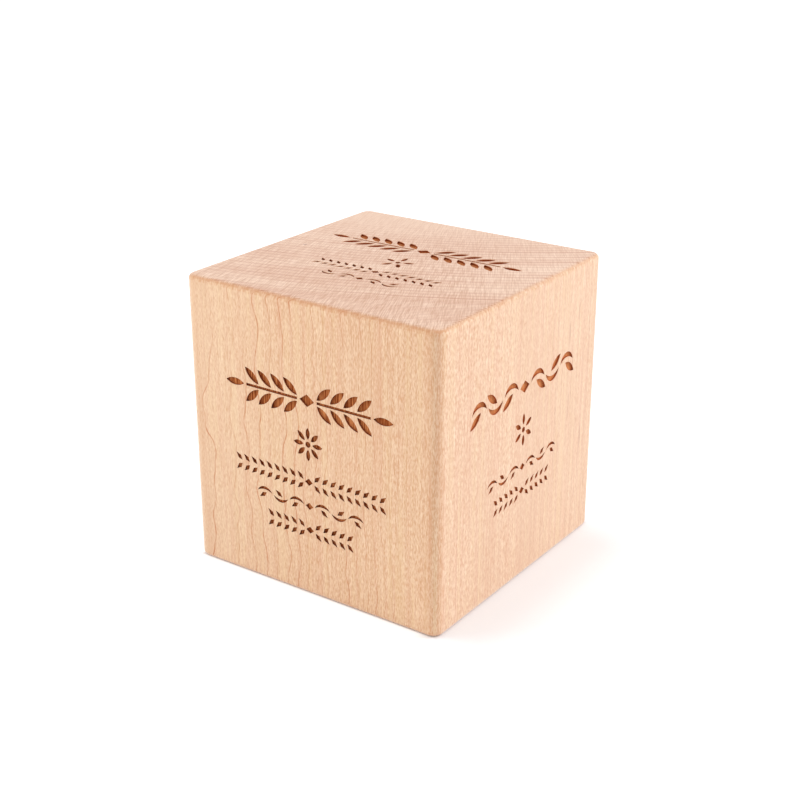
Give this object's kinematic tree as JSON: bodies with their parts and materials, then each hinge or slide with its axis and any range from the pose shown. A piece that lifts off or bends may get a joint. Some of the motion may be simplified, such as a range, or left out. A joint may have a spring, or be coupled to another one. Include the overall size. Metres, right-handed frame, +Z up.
{
  "type": "engraved wooden block",
  "caption": "Solid maple desk block, nearly a cube, with eased edges, upright grain and shallow engraved leaf ornament on its front, right and top faces.",
  "frame": {"origin": "middle of the base, on the surface that the block stands on", "axes": "+Z up along the grain to the engraved top, -Y out of the engraved front face, +X out of the engraved right face"},
  "size_m": [0.074, 0.074, 0.076],
  "materials": {
    "maple": "sanded hard maple with a thin clear satin finish, engraving burnt brown"
  },
  "bodies": {
    "root": {"engraved_block": "maple"}
  },
  "joints": []
}
